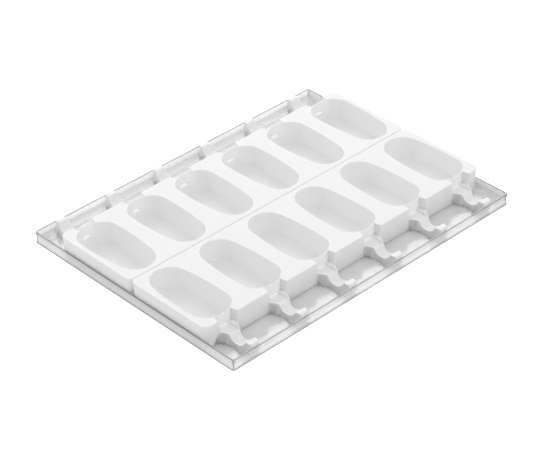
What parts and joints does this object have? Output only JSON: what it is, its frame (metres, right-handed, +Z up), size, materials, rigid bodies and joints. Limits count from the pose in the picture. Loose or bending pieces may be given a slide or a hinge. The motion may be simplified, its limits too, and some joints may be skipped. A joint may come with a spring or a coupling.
{
  "type": "ice pop mould set",
  "caption": "Flat bar-shaped cavities in soft lobed blocks that lie back to back in a shallow clear tray; each cavity has a stick slot and a waisted stick rest.",
  "frame": {"origin": "middle of the tray's underside, on the table", "axes": "+X along the row of cavities, +Y from the front mould to the rear mould, +Z up"},
  "size_m": [0.4, 0.3, 0.028],
  "materials": {
    "tray_plastic": "clear, glossy",
    "silicone": "satin"
  },
  "bodies": {
    "root": {"tray": "tray_plastic", "front_mould": "silicone", "rear_mould": "silicone"}
  },
  "joints": []
}
